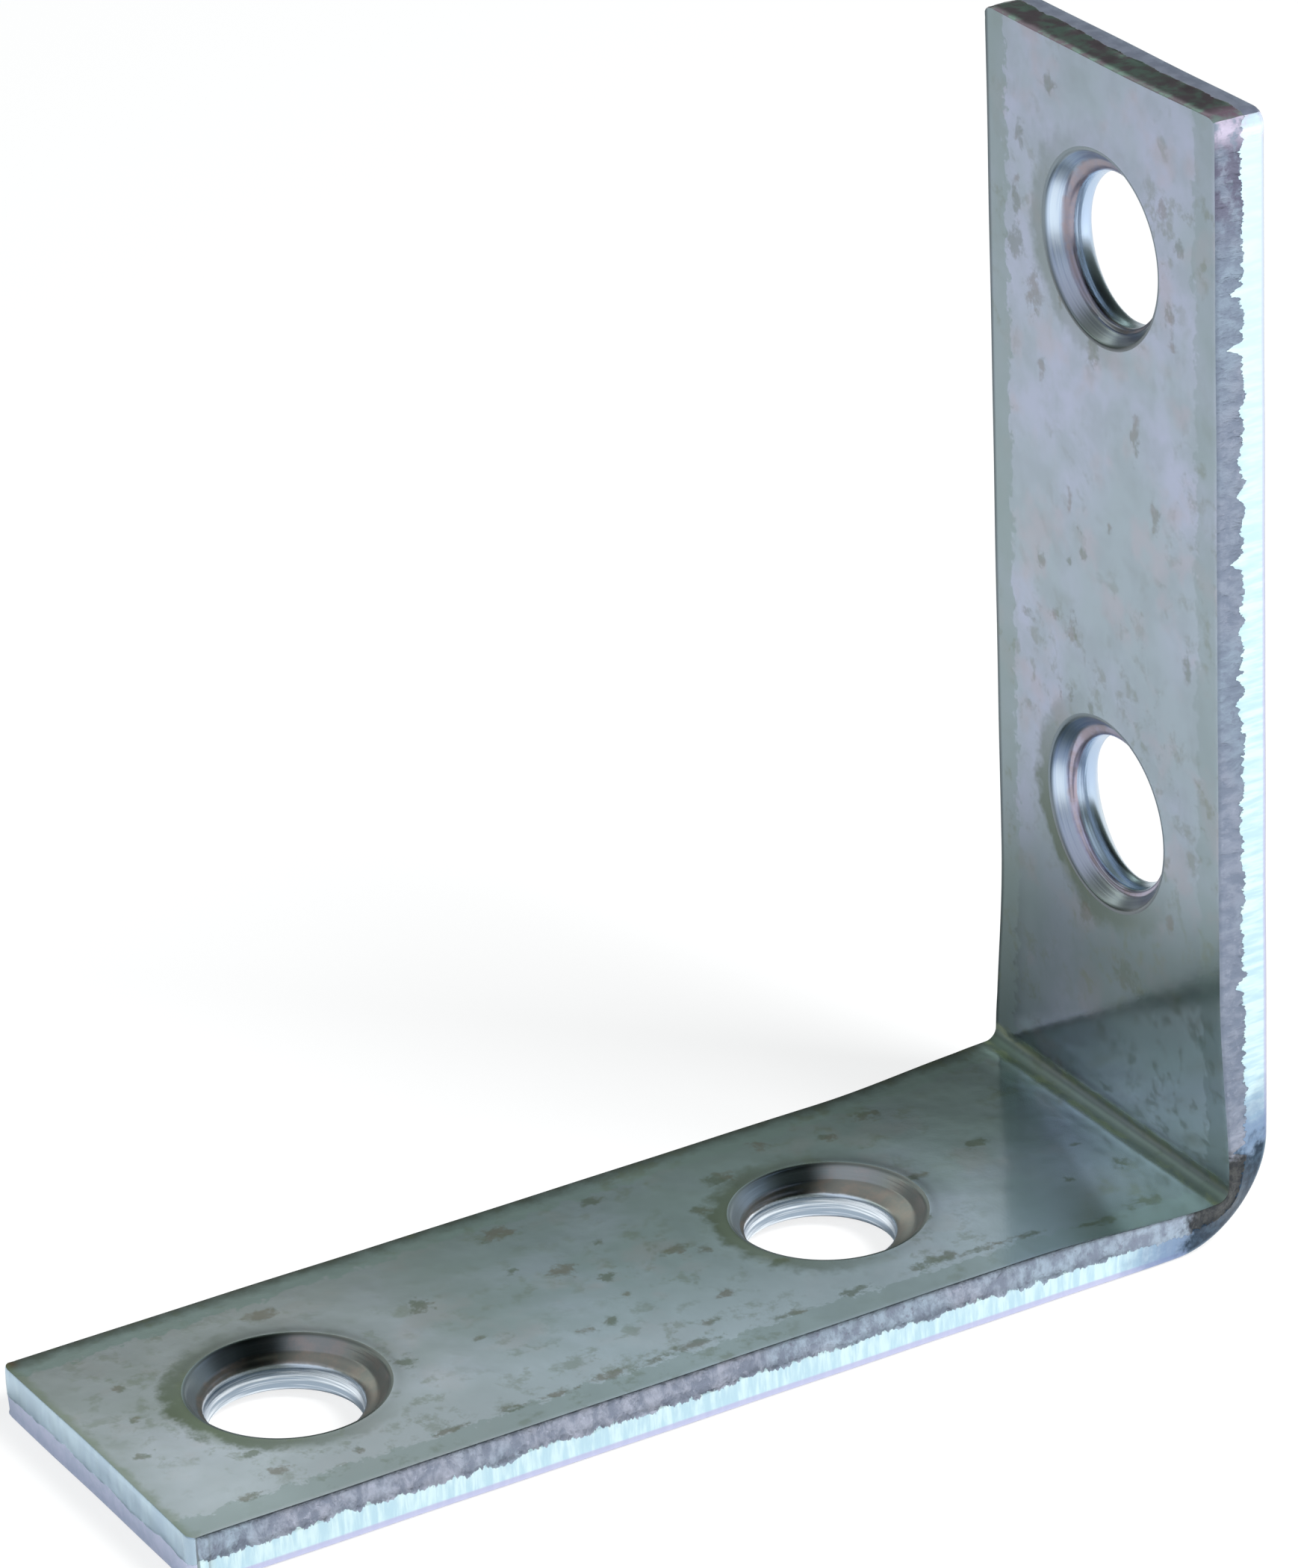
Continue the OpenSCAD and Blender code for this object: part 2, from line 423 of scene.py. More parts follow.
for hole, places in enumerate(hole_heights):
    side = -1 if hole < 2 else 1
    centre = np.array([side * (places[0][0] - bend_out_r + arc_half), places[0][1]])
    inner = web_loop(hole, 0)
    outer = web_loop(hole, -1)
    angle = np.arctan2(inner[1], inner[0] - centre[0])
    ring_q, ring_v, row_depth = hole_wall(places, side, angle)
    add_sheet(ring_q, ring_v, 1 - row_depth / strip_t * np.ones_like(angle), coined, closed=True, turned=True,
              around=angle, down_hole=hole_profile[:, :1] * np.ones_like(angle))
    out = (np.linspace(0, 1, 25) ** 1.7)[:, None]
    web_q, web_v = ring_q[0] + out * (inner[0] - ring_q[0]), ring_v[0] + out * (inner[1] - ring_v[0])
    away = np.hypot(web_q - ring_q[0], web_v - ring_v[0])
    add_sheet(web_q, web_v, 1 + lip(away) / strip_t * (1 - out ** 3), zinc, closed=True)
    out = (np.linspace(0, 1, 8) ** 1.3)[:, None]
    web_q, web_v = ring_q[-1] + out * (outer[0] - ring_q[-1]), ring_v[-1] + out * (outer[1] - ring_v[-1])
    add_sheet(web_q, web_v, np.zeros_like(web_q), zinc, closed=True, turned=True)

# %% [markdown]
# ## Faces between the holes, and the bend
# Between the webs the faces are plain grids across the strip. The middle one carries the bend: on the
# inner face the brake's nose has pressed two faint lines, one at each end of the tight curve.

# %% Weave the plain faces
press_line_q = arc_half * (1 - inner_step / (inner_step + inner_arc / 2))


def press_lines(q, v):
    """Depth of the brake's marks on the inner face, in mm: two narrow valleys with soft shoulders."""
    wander = 0.05 * np.sin(v / 2.1) + 0.03 * np.sin(v / 0.9 + 1)
    return sum(-0.006 * np.exp(-((q - side * press_line_q - wander) / 0.17) ** 2)
               + 0.006 * np.exp(-((q - side * (press_line_q + 0.45) - wander) / 0.3) ** 2)
               for side in (-1, 1))


for low, high in ((cut_at[0], cut_at[1]), (cut_at[2], cut_at[3]), (cut_at[4], cut_at[5])):
    for row, turned in ((0, False), (-1, True)):
        across = [cut_line(k, row) for k in range(low, high + 1)]
        grid_q = np.stack([a[0] for a in across], 0)
        grid_v = np.stack([a[1] for a in across], 0)
        marks = press_lines(grid_q, grid_v) * np.clip(np.minimum(cross, 1 - cross) / 0.04, 0, 1)
        add_sheet(grid_q, grid_v, 1 + marks / strip_t if row == 0 else np.zeros_like(grid_q), zinc,
                  turned=turned)
print(len(sheets), "sheets")

# %% [markdown]
# ## One closed skin
# The sheets are folded, put in one list and welded: points that agree to a tenth of a micrometre
# become one. Every edge then has exactly two faces, and the enclosed volume can be compared with the
# solid's.

# %% Weld the skin
starts = np.cumsum([0] + [len(s["flat"]) for s in sheets])
flat = np.concatenate([s["flat"] for s in sheets])
quads = np.concatenate([s["quads"] + start for s, start in zip(sheets, starts)])
finish_of = np.concatenate([np.full(len(s["quads"]), s["finish"]) for s in sheets])
points = fold(*flat.T)
kept, first_of, weld = np.unique(np.round(points, 4), axis=0, return_index=True, return_inverse=True)
corners = weld.reshape(-1)[quads]
skin = points[first_of] / 1000

ends = np.sort(np.stack([corners, np.roll(corners, -1, 1)], -1).reshape(-1, 2), 1)
shared = np.unique(ends, axis=0, return_counts=True)[1]
a, b, c, d = (skin[corners[:, k]] * 1000 for k in range(4))
volume = (np.einsum("ij,ij->i", a, np.cross(b, c)).sum() + np.einsum("ij,ij->i", a, np.cross(c, d)).sum()) / 6
print(len(skin), "points,", len(corners), "faces, volume", round(float(volume), 1), "mm3;",
      int((shared != 2).sum()), "edges without exactly two faces")

bracket_mesh = bpy.data.meshes.new("bracket_skin")
bracket_mesh.from_pydata(skin.tolist(), [], corners.tolist())
bracket_mesh.polygons.foreach_set("material_index", finish_of.astype(np.int32))
bracket_mesh.polygons.foreach_set("use_smooth", np.ones(len(corners), bool))
bracket_mesh.update()
bracket_mesh.set_sharp_from_angle(angle=math.radians(38))

# %% [markdown]
# ## Facts for the finishes
# A finish looks more real when it knows where it is. Each face corner keeps a few numbers in
# millimetres: its place on the flat strip, how far it is from a long side and from a countersink, how
# far down a hole it is, and how far over the torn border. Drying marks are kept too: a short list of
# spots, each with its place on the flat strip, its length and its width.

# %% Drying marks
spots = np.array([
    # q, v, half length, half width
    (23.0, 2.2, 0.9, 0.42), (30.1, -3.9, 0.75, 0.40), (25.3, 4.5, 0.45, 0.40), (26.0, 2.4, 0.30, 0.28),
    (28.6, -0.6, 0.35, 0.20), (28.6, 2.3, 0.75, 0.25), (27.7, 1.6, 0.35, 0.25), (26.6, 1.3, 0.45, 0.30),
    (33.1, -2.5, 1.1, 0.35), (33.9, 4.2, 0.7, 0.35), (35.9, 0.4, 0.8, 0.5), (37.4, 2.7, 0.5, 0.35),
    (38.4, -1.6, 0.9, 1.3), (37.9, -5.1, 0.45, 0.25), (22.5, 5.6, 0.3, 0.6), (24.3, -6.0, 0.9, 0.35),
    (23.2, 3.5, 0.35, 0.3), (19.9, 2.4, 0.4, 0.25), (19.8, 3.2, 0.4, 0.2), (19.9, 0.9, 0.45, 0.3),
    (43.5, 5.6, 0.6, 0.35), (40.5, 5.9, 1.6, 0.35), (38.6, 6.0, 0.8, 0.7), (36.9, 4.6, 0.9, 0.8),
    (42.0, -5.6, 0.5, 0.5), (43.4, -4.5, 0.5, 0.4), (39.0, -5.0, 0.6, 0.4), (46.3, 3.4, 0.5, 0.6),
    (8.6, -1.4, 0.7, 1.1), (10.3, 1.6, 0.5, 0.5), (12.4, -4.6, 0.5, 0.4),
    (-26.8, 1.7, 0.75, 0.65), (-25.6, 0.3, 0.50, 0.45), (-27.4, -2.9, 0.55, 0.42), (-28.5, -3.0, 0.45, 0.35),
    (-25.7, -1.4, 0.25, 0.25), (-32.4, -1.1, 0.35, 0.25), (-22.2, 0.6, 0.8, 0.4), (-21.1, -0.1, 0.5, 0.35),
    (-22.3, -3.6, 0.5, 0.35), (-19.2, -2.6, 0.5, 0.4), (-23.9, -5.1, 0.6, 0.3), (-24.4, 3.0, 0.3, 0.3),
    (-28.6, 2.8, 0.4, 0.3), (-22.9, 6.1, 0.7, 0.4), (-17.6, 4.7, 0.8, 0.7), (-19.7, 3.0, 0.5, 0.5),
    (-14.7, 6.2, 0.6, 0.5), (-12.0, 5.2, 0.5, 0.4), (-10.8, 0.2, 0.6, 0.4), (-12.7, -2.9, 0.7, 0.5),
    (-16.8, -3.6, 0.7, 0.4), (-7.3, 1.2, 0.6, 0.5), (-9.7, 6.0, 0.8, 0.5), (-27.5, 6.0, 0.9, 0.6),
    (-33.0, 2.5, 0.7, 0.7), (-43.9, -5.5, 0.60, 0.45), (-44.1, -3.9, 0.40, 0.35), (-40.4, -5.9, 0.3, 0.3),
    (-46.0, 3.5, 0.4, 0.3), (-46.6, 1.0, 0.3, 0.3), (-47.6, -1.6, 0.6, 0.3), (-38.6, 5.6, 0.8, 0.5),
    (-35.7, -1.0, 0.6, 0.5), (-3.1, -3.3, 0.75, 0.5), (-4.2, -6.4, 1.0, 0.42), (-4.0, -1.1, 0.3, 0.25),
    (2.1, 0.0, 0.4, 0.5), (1.9, -3.7, 0.4, 0.7), (-5.8, -3.4, 0.3, 0.3), (-6.6, -6.9, 1.2, 0.3),
    (-29.5, -6.5, 1.2, 0.34), (-27.5, -6.5, 0.9, 0.26), (-25.3, -6.3, 1.2, 0.36), (-31.8, -6.6, 1.2, 0.26),
    (-33.8, -6.5, 0.8, 0.28), (-18.0, -6.3, 1.1, 0.34), (-20.9, -6.4, 1.1, 0.26), (-13.8, -6.1, 1.5, 0.40),
    (-11.7, -6.3, 0.9, 0.30), (-45.5, -6.6, 1.0, 0.24), (-36.6, -6.6, 1.1, 0.22), (-9.8, -6.4, 0.9, 0.26)])


def spot_value(q, v):
    """For each point, one minus its distance from the nearest spot's middle, measured in that spot's own
    half length and half width: one in the middle, zero on the border, and never below minus two."""
    away = np.hypot((q[:, None] - spots[:, 0]) / spots[:, 2], (v[:, None] - spots[:, 1]) / spots[:, 3])
    return np.maximum(1 - away.min(1), -2)


# %% Keep the facts


def keep_fact(name, values):
    """Stores one value or vector per face corner for the materials to read."""
    kind = "FLOAT_VECTOR" if values.ndim == 2 else "FLOAT"
    fact = bracket_mesh.attributes.new(name, kind, "CORNER")
    fact.data.foreach_set("vector" if values.ndim == 2 else "value", values.astype(np.float32).ravel())


at_corner = quads.reshape(-1)
corner_flat = flat[at_corner]
keep_fact("laid_flat", corner_flat * [1, 1, strip_t])
keep_fact("from_side", half_w - np.abs(corner_flat[:, 1]))
rims = [(-1 if k < 2 else 1, *h[0]) for k, h in enumerate(hole_heights)]
rim_centre = np.array([(side * (along - bend_out_r + arc_half), v) for side, along, v, radius, depth in rims])
apart = flat[:, None, :2] - rim_centre
beyond = np.hypot(*np.moveaxis(apart, -1, 0)) - np.array([rim[3] for rim in rims])
nearest = beyond.argmin(1)
stain_even, stain_lean, stain_heading = np.array([
    # strength all round, extra strength on one side, and that side's heading on the flat strip
    (0.36, 0.56, -3.0), (0.34, 0.52, 2.9), (0.40, 0.60, 2.3), (0.14, 0.40, 1.9)]).T
here = np.arange(len(flat)), nearest
heading = np.arctan2(apart[..., 1][here], apart[..., 0][here])
keep_fact("from_rim", beyond[here][at_corner])
keep_fact("halo", (stain_even + stain_lean * np.cos(heading[:, None] - stain_heading))[here][at_corner])
keep_fact("spot", spot_value(flat[:, 0], flat[:, 1])[at_corner])
for fact_name in ("circled", "down_hole", "over_border"):
    keep_fact(fact_name, np.concatenate([s[fact_name] for s in sheets])[at_corner])
print(len(spots), "drying marks")

bracket = bpy.data.objects.new("bracket_skin", bracket_mesh)
bpy.context.scene.collection.objects.link(bracket)

# %% [markdown]
# ## Writing finishes
# A finish is a small network of nodes. This helper keeps the network readable: each method adds one
# node and hands back its output, and a plain number or colour is set straight on the socket.

# %% A pen for node finishes


def paint(r, g, b):
    """A colour given as it looks on the screen, 0 to 255, turned into linear light."""
    share = np.array([r, g, b]) / 255
    linear = np.where(share <= 0.04045, share / 12.92, ((share + 0.055) / 1.055) ** 2.4)
    return (*map(float, linear), 1.0)


class Finish:
    """A node material with one Principled shader, written one node at a time."""

    def __init__(self, name, metallic, roughness):
        self.material = bpy.data.materials.new(name)
        self.material.use_nodes = True
        self.tree = self.material.node_tree
        self.shader = self.tree.nodes["Principled BSDF"]
        self.shader.inputs["Metallic"].default_value = metallic
        self.set(self.shader, "Roughness", roughness)

    def set(self, node, socket, value):
        if isinstance(value, bpy.types.NodeSocket):
            self.tree.links.new(value, node.inputs[socket])
        else:
            node.inputs[socket].default_value = value

    def node(self, kind, out=0, settings=None, **values):
        made = self.tree.nodes.new("ShaderNode" + kind)
        for name, value in (settings or {}).items():
            setattr(made, name, value)
        for name, value in values.items():
            self.set(made, int(name[1:]) if name[1:].isdigit() else name, value)
        return made.outputs[out]

    def fact(self, name, vector=False):
        """A fact stored on the mesh."""
        return self.node("Attribute", "Vector" if vector else "Fac", {"attribute_name": name})

    def part(self, vector, k):
        """One of a vector's three numbers."""
        return self.node("SeparateXYZ", k, Vector=vector)

    def sum(self, kind, a, b=0.0, c=0.0):
        """Arithmetic on numbers: ADD, MULTIPLY, MULTIPLY_ADD and so on."""
        return self.node("Math", 0, {"operation": kind}, _0=a, _1=b, _2=c)

    def stretch(self, where, x, y, z):
        """Scales a place along its three directions."""
        return self.node("Mapping", 0, Vector=where, Scale=(x, y, z))

    def grain(self, where, per_mm, detail=2.0, rough=0.5, warp=0.0):
        """Cloudy noise from 0 to 1, with per_mm features in a millimetre."""
        return self.node("TexNoise", "Fac", Vector=where, Scale=per_mm, Detail=detail, Roughness=rough,
                         Distortion=warp)

    def ease(self, value, low, high, to_low=0.0, to_high=1.0):
        """Smooth step of value from low to high."""
        return self.node("MapRange", 0, {"interpolation_type": "SMOOTHSTEP"}, _0=value, _1=low, _2=high,
                         _3=to_low, _4=to_high)

    def times(self, *values):
        """Product of several numbers."""
        product = values[0]
        for value in values[1:]:
            product = self.sum("MULTIPLY", product, value)
        return product

    def blend(self, share, a, b, kind="MIX"):
        """Colour a where share is 0 and colour b where it is 1."""
        return self.node("Mix", 2, {"data_type": "RGBA", "blend_type": kind}, _0=share, _6=a, _7=b)

    def bump(self, height, deep, after=None):
        """Fine relief, deep metres where height goes from 0 to 1."""
        values = {"Height": height, "Distance": deep, "Strength": 1.0}
        if after is not None:
            values["Normal"] = after
        return self.node("Bump", 0, **values)

    def finish(self, colour, roughness=None, normal=None):
        self.set(self.shader, "Base Color", colour)
        if roughness is not None:
            self.set(self.shader, "Roughness", roughness)
        if normal is not None:
            self.set(self.shader, "Normal", normal)
        return self.material


# %% [markdown]
# ## Plated faces
# The faces are cold-rolled steel under a thin, bluish zinc plating. The plating is glossy but not a
# mirror, it shifts slowly between lavender grey and green grey, and drying water has left olive
# stains that gather round the countersinks and along the edges. Painted shade and painted reflections
# are laid over it too: low on the upright, across the foot, by the bend and along the foot's far edge.

# %% Finish of the plated faces
plating = Finish("zinc_plating", 0.92, 0.25)
flat_place = plating.fact("laid_flat", True)
along, over = plating.part(flat_place, 0), plating.part(flat_place, 1)
lying = plating.ease(along, 2, -2)
cloud = plating.grain(flat_place, 0.12, 3, 0.55, 0.4)
tone = plating.blend(plating.ease(cloud, 0.38, 0.62), paint(182, 188, 211), paint(168, 181, 192))
mottle = plating.grain(flat_place, 0.5, 4, 0.62)
tone = plating.blend(plating.ease(mottle, 0.36, 0.66, 0.0, 0.5), tone, paint(156, 168, 177))
blush = plating.grain(flat_place, 0.33, 3, 0.6)
tone = plating.blend(plating.ease(blush, 0.52, 0.68, 0.0, 0.4), tone, paint(188, 177, 188))

# Painted shade: the upright is painted darker from about 4 mm above the bend up to 11 to 18 mm, standing in for the
# shadowed table it reflects.
upright_shade_edge = plating.sum("MULTIPLY_ADD", plating.grain(flat_place, 0.5, 3, 0.6), 5.0, along)
upright_painted_shade = plating.times(plating.ease(upright_shade_edge, 18.0, 11.0), plating.ease(along, 4.0, 9.0), 0.52)
tone = plating.blend(upright_painted_shade, tone, paint(92, 112, 105))
# Painted reflection: the foot is painted darker towards its far side and paler and bluer towards its near side.
tone = plating.blend(plating.times(plating.ease(over, -4.5, 8.2), lying, 0.6), tone, paint(120, 134, 130))
tone = plating.blend(plating.times(plating.ease(over, 1.0, -7.0), lying, 0.74), tone, paint(206, 214, 234))

near_bend = plating.ease(plating.sum("ABSOLUTE", along), 12.0, 6.0)
standing = plating.sum("SUBTRACT", 1.0, lying)
# Painted reflection on the upright near the bend, along the diagonal where it mirrors the foot: pale on the near
# side below the diagonal, and a band of painted shade above it.
mirror_gap = plating.sum("MULTIPLY_ADD", over, 0.503, along)
tone = plating.blend(plating.times(plating.ease(mirror_gap, 6.8, 5.8), standing, plating.ease(over, 4.0, -3.0), 0.8), tone, paint(226, 234, 246))
shaded = plating.times(plating.ease(mirror_gap, 12.0, 7.6), plating.ease(mirror_gap, 5.6, 6.8), standing, 0.42)
tone = plating.blend(shaded, tone, paint(92, 106, 104))
# Painted shade and reflection by the bend: the foot is darker near the bend, most on its near side, and the upright
# is darker near the bend at its far side, which the foot then reflects.
tone = plating.blend(plating.times(near_bend, lying, plating.ease(over, 3.5, -8.5, 0.05, 0.84)), tone, paint(98, 113, 108))
tone = plating.blend(plating.times(near_bend, standing, plating.ease(over, 5.6, 7.6), 0.75), tone, paint(78, 86, 82))
tone = plating.blend(plating.ease(along, -26.0, -40.0, 0.0, 0.35), tone, paint(206, 192, 200))

side_gap = plating.fact("from_side")
scallop = plating.sum("MULTIPLY_ADD", plating.grain(flat_place, 1.3, 4, 0.7), 2.2, side_gap)
band = plating.ease(scallop, 2.80, 2.60)
band = plating.times(band, plating.ease(side_gap, 0.15, 0.5), plating.ease(over, -1, 1, 0.42, 0.66))
tone = plating.blend(band, tone, paint(140, 157, 157))
far_line = plating.times(plating.ease(side_gap, 0.50, 0.28), plating.ease(over, 0.0, 1.0), standing, 0.8)
tone = plating.blend(far_line, tone, paint(72, 84, 86))
ragged = plating.sum("MULTIPLY_ADD", plating.grain(flat_place, 0.9, 4, 0.65), 2.2, -1.1)
# Painted shade: a soft dark strip along the foot's far edge.
far_edge_painted_shade = plating.times(plating.ease(plating.sum("MULTIPLY_ADD", ragged, 0.5, over), 7.0, 8.2), lying, 0.9)
tone = plating.blend(far_edge_painted_shade, tone, paint(66, 68, 62))
rust_q = plating.sum("MULTIPLY_ADD", ragged, 0.5, along)
rust = plating.times(plating.ease(rust_q, q_foot + 0.9, q_foot + 0.4), plating.ease(over, 7.2, 7.9), 0.85)
tone = plating.blend(rust, tone, paint(104, 78, 60))
fringe = plating.times(plating.ease(rust_q, q_foot + 0.55, q_foot + 0.1), 0.5)
tone = plating.blend(fringe, tone, paint(128, 138, 108))

ring = plating.sum("ADD", plating.fact("from_rim"), ragged)
halo = plating.times(plating.ease(ring, 1.15, 0.35), plating.fact("halo"))
tone = plating.blend(halo, tone, plating.blend(lying, paint(112, 124, 114), paint(96, 104, 84)))

spot_edge = plating.sum("MULTIPLY_ADD", plating.grain(flat_place, 2.0, 4, 0.7), 3.2, -1.7)
spot_share = plating.ease(plating.sum("ADD", plating.fact("spot"), spot_edge), -0.15, 0.6)
spot_share = plating.times(spot_share, plating.ease(lying, 0, 1, 0.42, 0.62))
brownish = plating.times(plating.ease(plating.grain(flat_place, 0.4), 0.42, 0.58), plating.sum("SUBTRACT", 1.0, near_bend))
olive = plating.blend(brownish, paint(94, 102, 78), paint(122, 108, 92))
tone = plating.blend(spot_share, tone, olive)
where_dusty = plating.ease(plating.grain(flat_place, 0.16, 2), 0.40, 0.58, 0.2, 1.0)
dust = plating.ease(plating.grain(flat_place, 0.9, 4, 0.68), 0.51, 0.67, 0.0, 0.4)
tone = plating.blend(plating.times(dust, where_dusty), tone, paint(122, 128, 106))

bend_gap = plating.sum("ABSOLUTE", along)
wavy_gap = plating.sum("MULTIPLY_ADD", plating.grain(flat_place, 0.7, 3, 0.6), 0.7, bend_gap)
pressed = plating.ease(wavy_gap, 1.7, 0.9)
tone = plating.blend(plating.times(pressed, 0.6), tone, paint(116, 130, 118))
line = plating.ease(plating.sum("ABSOLUTE", plating.sum("SUBTRACT", wavy_gap, 1.15)), 0.50, 0.08)
line = plating.times(line, plating.ease(plating.grain(flat_place, 0.8, 3, 0.6), 0.40, 0.60, 0.08, 0.60))
tone = plating.blend(line, tone, paint(176, 184, 150))
dull = plating.times(plating.ease(cloud, 0.3, 0.7, 0.20, 0.26), plating.ease(bend_gap, 8.0, 15.0, 0.64, 1.0))
dull = plating.sum("ADD", dull, plating.times(pressed, 0.30))
relief = plating.bump(plating.grain(flat_place, 0.45, 2, 0.5), 0.000012)
relief = plating.bump(plating.grain(flat_place, 7.0, 2, 0.6), 0.0000008, relief)
zinc_plating = plating.finish(tone, dull, relief)

# %% [markdown]
# ## Sheared sides
# The rubbed band is the brightest metal on the part, with fine strokes across it where the blade
# passed. The torn band is a dull mauve grey with crumbs and pits. The border between them was made
# uneven in the mesh, and the finish breaks it up further at a finer scale. At the bend the side was
# squeezed and stretched; there it is painted dark as painted shade, with paler scuffs and a painted
# highlight, a pale blue line, along its outer edge.

# %% Finish of the sheared sides
shear = Finish("sheared_side", 1.0, 0.3)
flat_place = shear.fact("laid_flat", True)
along, up_from_outer = shear.part(flat_place, 0), shear.part(flat_place, 2)
fine_border = shear.grain(shear.stretch(flat_place, 1, 1, 0.3), 2.6, 4, 0.68)
height = shear.sum("ADD", shear.fact("over_border"), shear.sum("MULTIPLY_ADD", fine_border, 0.9, -0.45))
bites = [
    # place along the strip, depth in mm
    (40.9, 0.50), (38.6, 0.56), (35.9, 0.30), (33.8, 0.24), (29.4, 0.28), (24.4, 0.32), (23.3, 0.26),
    (10.7, 0.40), (3.3, 0.55)]
for bite_q, bite_deep in bites:
    bite_gap = shear.sum("ABSOLUTE", shear.sum("SUBTRACT", along, bite_q))
    height = shear.sum("SUBTRACT", height, shear.ease(bite_gap, 0.36, 0.0, 0.0, bite_deep))
torn_part = shear.ease(height, -0.012, 0.012)
strokes = shear.grain(shear.stretch(flat_place, 1, 1, 0.14), 3.4, 4, 0.62)
rubbed = shear.blend(shear.ease(strokes, 0.36, 0.62), paint(224, 247, 250), paint(196, 226, 238))
lilac_top = shear.ease(along, -2.0, 6.0, 0.48, 0.34)
lilac = shear.ease(shear.sum("SUBTRACT", up_from_outer, lilac_top), 0.0, -0.12, 0.0, 0.8)
rubbed = shear.blend(lilac, rubbed, paint(196, 192, 224))
outer_line = shear.times(shear.ease(up_from_outer, 0.17, 0.07), shear.ease(along, 2.0, 8.0), 0.8)
rubbed = shear.blend(outer_line, rubbed, paint(122, 112, 134))
rubbed = shear.blend(shear.ease(along, 22.0, 46.0, 0.0, 0.6), rubbed, paint(206, 224, 238))
bent_edge = shear.sum("MULTIPLY_ADD", shear.grain(flat_place, 1.2, 4, 0.65), 3.0, shear.sum("ABSOLUTE", along))
rubbed = shear.blend(shear.ease(bent_edge, 8.6, 5.4, 0.0, 0.85), rubbed, paint(120, 142, 178))
crumbs = shear.grain(shear.stretch(flat_place, 1, 1, 0.6), 1.6, 4, 0.64, 0.2)
cool = shear.ease(shear.grain(flat_place, 0.15, 2), 0.42, 0.58)
ripped = shear.blend(cool, paint(182, 198, 214), paint(186, 190, 206))
ripped = shear.blend(shear.ease(crumbs, 0.36, 0.62, 0.0, 0.85), ripped, paint(138, 146, 164))
flecks = shear.ease(shear.grain(flat_place, 3.2, 3, 0.6), 0.58, 0.70, 0.0, 0.5)
ripped = shear.blend(flecks, ripped, shear.blend(cool, paint(124, 120, 138), paint(212, 214, 232)))
shadow_line = shear.ease(up_from_outer, 2.22, 2.35, 0.0, 0.35)
ripped = shear.blend(shadow_line, ripped, paint(110, 120, 126))
ripped = shear.blend(shear.ease(along, 2, 6, 0.0, 0.55), ripped, paint(124, 136, 156))
blotches = shear.grain(flat_place, 1.1, 4, 0.65)
top_dark = shear.times(shear.ease(along, 42.0, 45.0), shear.ease(blotches, 0.40, 0.56), 0.7)
ripped = shear.blend(top_dark, ripped, paint(104, 98, 120))
tone = shear.blend(torn_part, rubbed, ripped)
worn_top = shear.times(shear.ease(along, q_top - 1.6, q_top - 0.5), shear.ease(blotches, 0.40, 0.56), 0.8)
tone = shear.blend(worn_top, tone, paint(214, 204, 226))
notches = shear.grain(shear.stretch(flat_place, 1, 1, 0.02), 3.0, 2, 0.5)
worn_tip = shear.times(shear.ease(along, q_foot + 1.1, q_foot + 0.5), shear.ease(notches, 0.50, 0.56), 0.75)
tone = shear.blend(worn_tip, tone, paint(118, 124, 126))
bent = shear.ease(bent_edge, 5.4, 4.2, 0.0, 0.96)
scuffs = shear.ease(shear.grain(flat_place, 2.4, 4, 0.65), 0.40, 0.66)
# Painted shade at the bend: dark blue on the rubbed band and dark grey on the torn one, with paler scuffs.
bend_shade_scuffs_highlight = shear.blend(torn_part, paint(38, 54, 70), paint(58, 60, 62))
bend_shade_scuffs_highlight = shear.blend(shear.times(scuffs, 0.5), bend_shade_scuffs_highlight, shear.blend(torn_part, paint(80, 104, 124), paint(106, 106, 102)))
# Painted highlight: a pale blue line along the outer edge at the bend.
bend_shade_scuffs_highlight = shear.blend(shear.ease(up_from_outer, 0.40, 0.10, 0.0, 0.7), bend_shade_scuffs_highlight, paint(120, 150, 172))
tone = shear.blend(bent, tone, bend_shade_scuffs_highlight)
relief = shear.bump(strokes, 0.000007)
relief = shear.bump(shear.times(crumbs, torn_part), 0.00009, relief)
roughness = shear.ease(torn_part, 0, 1, 0.26, 0.46)
shear.set(shear.shader, "Metallic", shear.ease(along, q_top - 1.3, q_top - 0.6, 1.0, 0.3))
sheared_side = shear.finish(tone, roughness, relief)

# %% [markdown]
# ## Cropped ends
# The two ends were cropped from the other face: their rubbed band lies against the inner face and is
# almost a mirror, and the torn band lies against the outer face. The torn band at the foot's tip is
# painted much lighter than at the top end, as painted light.

# %% Finish of the cropped ends
crop = Finish("cropped_end", 1.0, 0.2)
flat_place = crop.fact("laid_flat", True)
standing = crop.ease(crop.part(flat_place, 0), -2, 2)
fine_border = crop.sum("MULTIPLY_ADD", crop.grain(flat_place, 1.6, 4, 0.65), 0.5, -0.25)
torn_part = crop.ease(crop.sum("ADD", crop.fact("over_border"), fine_border), -0.03, 0.03)
strokes = crop.grain(crop.stretch(flat_place, 1, 1, 0.2), 1.6, 3, 0.6)
smooth = crop.blend(crop.ease(strokes, 0.3, 0.7), paint(186, 206, 218), paint(172, 192, 208))
# The upright's top end is painted darker and mottled reddish and greenish.
top_end_tone = crop.blend(crop.ease(crop.grain(flat_place, 0.9, 4, 0.65), 0.40, 0.60), paint(152, 172, 168), paint(146, 122, 140))
rubbed = crop.blend(standing, smooth, top_end_tone)
crumbs = crop.grain(flat_place, 1.5, 4, 0.65)
